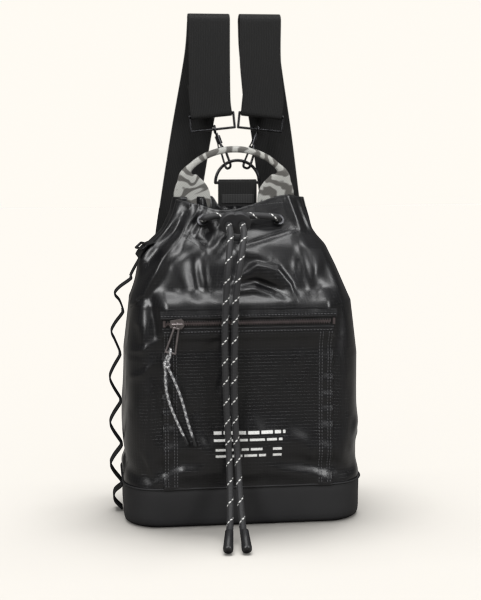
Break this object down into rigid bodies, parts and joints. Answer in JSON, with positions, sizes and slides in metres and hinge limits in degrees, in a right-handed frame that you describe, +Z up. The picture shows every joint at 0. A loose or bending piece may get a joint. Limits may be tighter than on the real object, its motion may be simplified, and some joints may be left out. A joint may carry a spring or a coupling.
{
  "type": "drawstring backpack",
  "caption": "Drawstring bucket backpack with rope cord and stopper, zipped front pocket, grab handle, D-ring, snap hooks and shoulder straps.",
  "frame": {"origin": "centre of the flat base, on the surface that it stands on", "axes": "+Z up the bag towards the neck, -Y out of the front pocket, +X to the right of someone facing the front"},
  "size_m": [0.3198, 0.2957, 0.6431],
  "materials": {
    "coated_ripstop": "glossy coated",
    "base_fabric": "matte",
    "lining_fabric": "plain",
    "board": "matte",
    "webbing": "woven",
    "handle_fabric": "woven jacquard",
    "zip_tape": "woven",
    "zip_teeth": "moulded",
    "dark_metal": "black nickel",
    "rope": "braided with pale tracers",
    "pull_cord": "braided",
    "stopper_plastic": "matte",
    "tip_plastic": "matte",
    "padding": "mesh"
  },
  "bodies": {
    "root": {"front_panel": "coated_ripstop", "back_panel": "coated_ripstop", "left_side_panel": "coated_ripstop", "right_side_panel": "coated_ripstop", "collar": "coated_ripstop", "pocket_panel": "coated_ripstop", "zip_facing": "coated_ripstop", "base_band": "base_fabric", "bottom_panel": "base_fabric", "lining": "lining_fabric", "channel_facing": "lining_fabric", "base_board": "board", "rim_binding": "webbing", "shoulder_strap_left": "webbing", "shoulder_strap_right": "webbing", "d_ring_loop": "webbing", "loop_label": "webbing", "daisy_chain": "webbing", "side_tab": "webbing", "handle_pad_left": "handle_fabric", "handle_pad_right": "handle_fabric", "zip_tape_lower": "zip_tape", "zip_tape_upper": "zip_tape", "zip_teeth_lower": "zip_teeth", "zip_teeth_upper": "zip_teeth", "zip_stops": "zip_teeth", "eyelets": "dark_metal", "side_tab_slide": "dark_metal", "drawcord_tail_left": "rope", "drawcord_tail_right": "rope", "neck_cord_left": "rope", "neck_cord_right": "rope", "channel_cord": "rope", "drawcord_tip_left": "tip_plastic", "drawcord_tip_right": "tip_plastic", "back_pad": "padding"},
    "stopper": {"cord_stopper": "stopper_plastic"},
    "slider": {"zip_slider": "dark_metal"},
    "puller": {"zip_puller": "dark_metal"},
    "pull_cord": {"pull_cord_loop": "pull_cord", "pull_knot": "pull_cord", "pull_cord_left": "pull_cord", "pull_cord_right": "pull_cord", "pull_cord_tips": "tip_plastic"},
    "handle": {"handle_grip": "handle_fabric"},
    "d_ring": {"d_ring": "dark_metal"},
    "ring_left": {"rect_ring_left": "dark_metal"},
    "ring_right": {"rect_ring_right": "dark_metal"},
    "hook_left": {"hook_body_left": "dark_metal"},
    "hook_right": {"hook_body_right": "dark_metal"},
    "gate_left": {"hook_gate_left": "dark_metal"},
    "gate_right": {"hook_gate_right": "dark_metal"},
    "adjuster_left": {"strap_adjuster_left": "dark_metal"},
    "adjuster_right": {"strap_adjuster_right": "dark_metal"}
  },
  "joints": [
    {"name": "stopper_slide", "type": "slide", "parent": "root", "child": "stopper", "axis": [0, -0.9063, -0.4226], "range_m": [0, 0.009]},
    {"name": "zip_slide", "type": "slide", "parent": "root", "child": "slider", "axis": [1, 0, 0], "range_m": [0, 0.182]},
    {"name": "puller_lift", "type": "hinge", "parent": "slider", "child": "puller", "pos_m": [-0.086, -0.0901, 0.26], "axis": [-1, 0, 0], "range_deg": [0, 75]},
    {"name": "pull_cord_swing", "type": "hinge", "parent": "puller", "child": "pull_cord", "pos_m": [-0.09471, -0.0901, 0.22507], "axis": [0, 1, 0], "range_deg": [-20, 20]},
    {"name": "handle_fold", "type": "hinge", "parent": "root", "child": "handle", "pos_m": [-0.002, 0.0273, 0.4407], "axis": [1, 0, 0], "range_deg": [-8, 50]},
    {"name": "d_ring_swing", "type": "hinge", "parent": "root", "child": "d_ring", "pos_m": [0.004, 0.045, 0.4255], "axis": [1, 0, 0], "range_deg": [-6, 15]},
    {"name": "ring_swing_left", "type": "hinge", "parent": "root", "child": "ring_left", "pos_m": [-0.0302, 0.045, 0.514], "axis": [0.9945, 0, 0.1045], "range_deg": [-4, 4]},
    {"name": "hook_swing_left", "type": "hinge", "parent": "ring_left", "child": "hook_left", "pos_m": [-0.02567, 0.045, 0.49487], "axis": [0.9945, 0, 0.1045], "range_deg": [-10, 10]},
    {"name": "ring_swing_right", "type": "hinge", "parent": "root", "child": "ring_right", "pos_m": [0.0357, 0.045, 0.514], "axis": [0.9945, 0, -0.1045], "range_deg": [-4, 4]},
    {"name": "hook_swing_right", "type": "hinge", "parent": "ring_right", "child": "hook_right", "pos_m": [0.03118, 0.045, 0.49487], "axis": [0.9945, 0, -0.1045], "range_deg": [-10, 10]},
    {"name": "gate_left", "type": "hinge", "parent": "hook_left", "child": "gate_left", "pos_m": [-0.01913, 0.04288, 0.47106], "axis": [-0.6631, 0.7071, -0.2454], "range_deg": [0, 22], "stiffness_Nm_per_rad": 0.02, "springref_deg": -5.73},
    {"name": "gate_right", "type": "hinge", "parent": "hook_right", "child": "gate_right", "pos_m": [0.0218, 0.04712, 0.47202], "axis": [0.6748, 0.7071, -0.2112], "range_deg": [0, 22], "stiffness_Nm_per_rad": 0.02, "springref_deg": -5.73},
    {"name": "adjuster_slide_left", "type": "slide", "parent": "root", "child": "adjuster_left", "axis": [-0.1053, 0, -0.9944], "range_m": [-0.03, 0.04]},
    {"name": "adjuster_slide_right", "type": "slide", "parent": "root", "child": "adjuster_right", "axis": [0.1053, 0, -0.9944], "range_m": [-0.03, 0.04]}
  ],
  "couplings": [
    {"joint": "ring_swing_left", "follows": "d_ring_swing", "ratio": -0.15},
    {"joint": "hook_swing_left", "follows": "d_ring_swing", "ratio": -0.36},
    {"joint": "ring_swing_right", "follows": "d_ring_swing", "ratio": -0.15},
    {"joint": "hook_swing_right", "follows": "d_ring_swing", "ratio": -0.36}
  ]
}
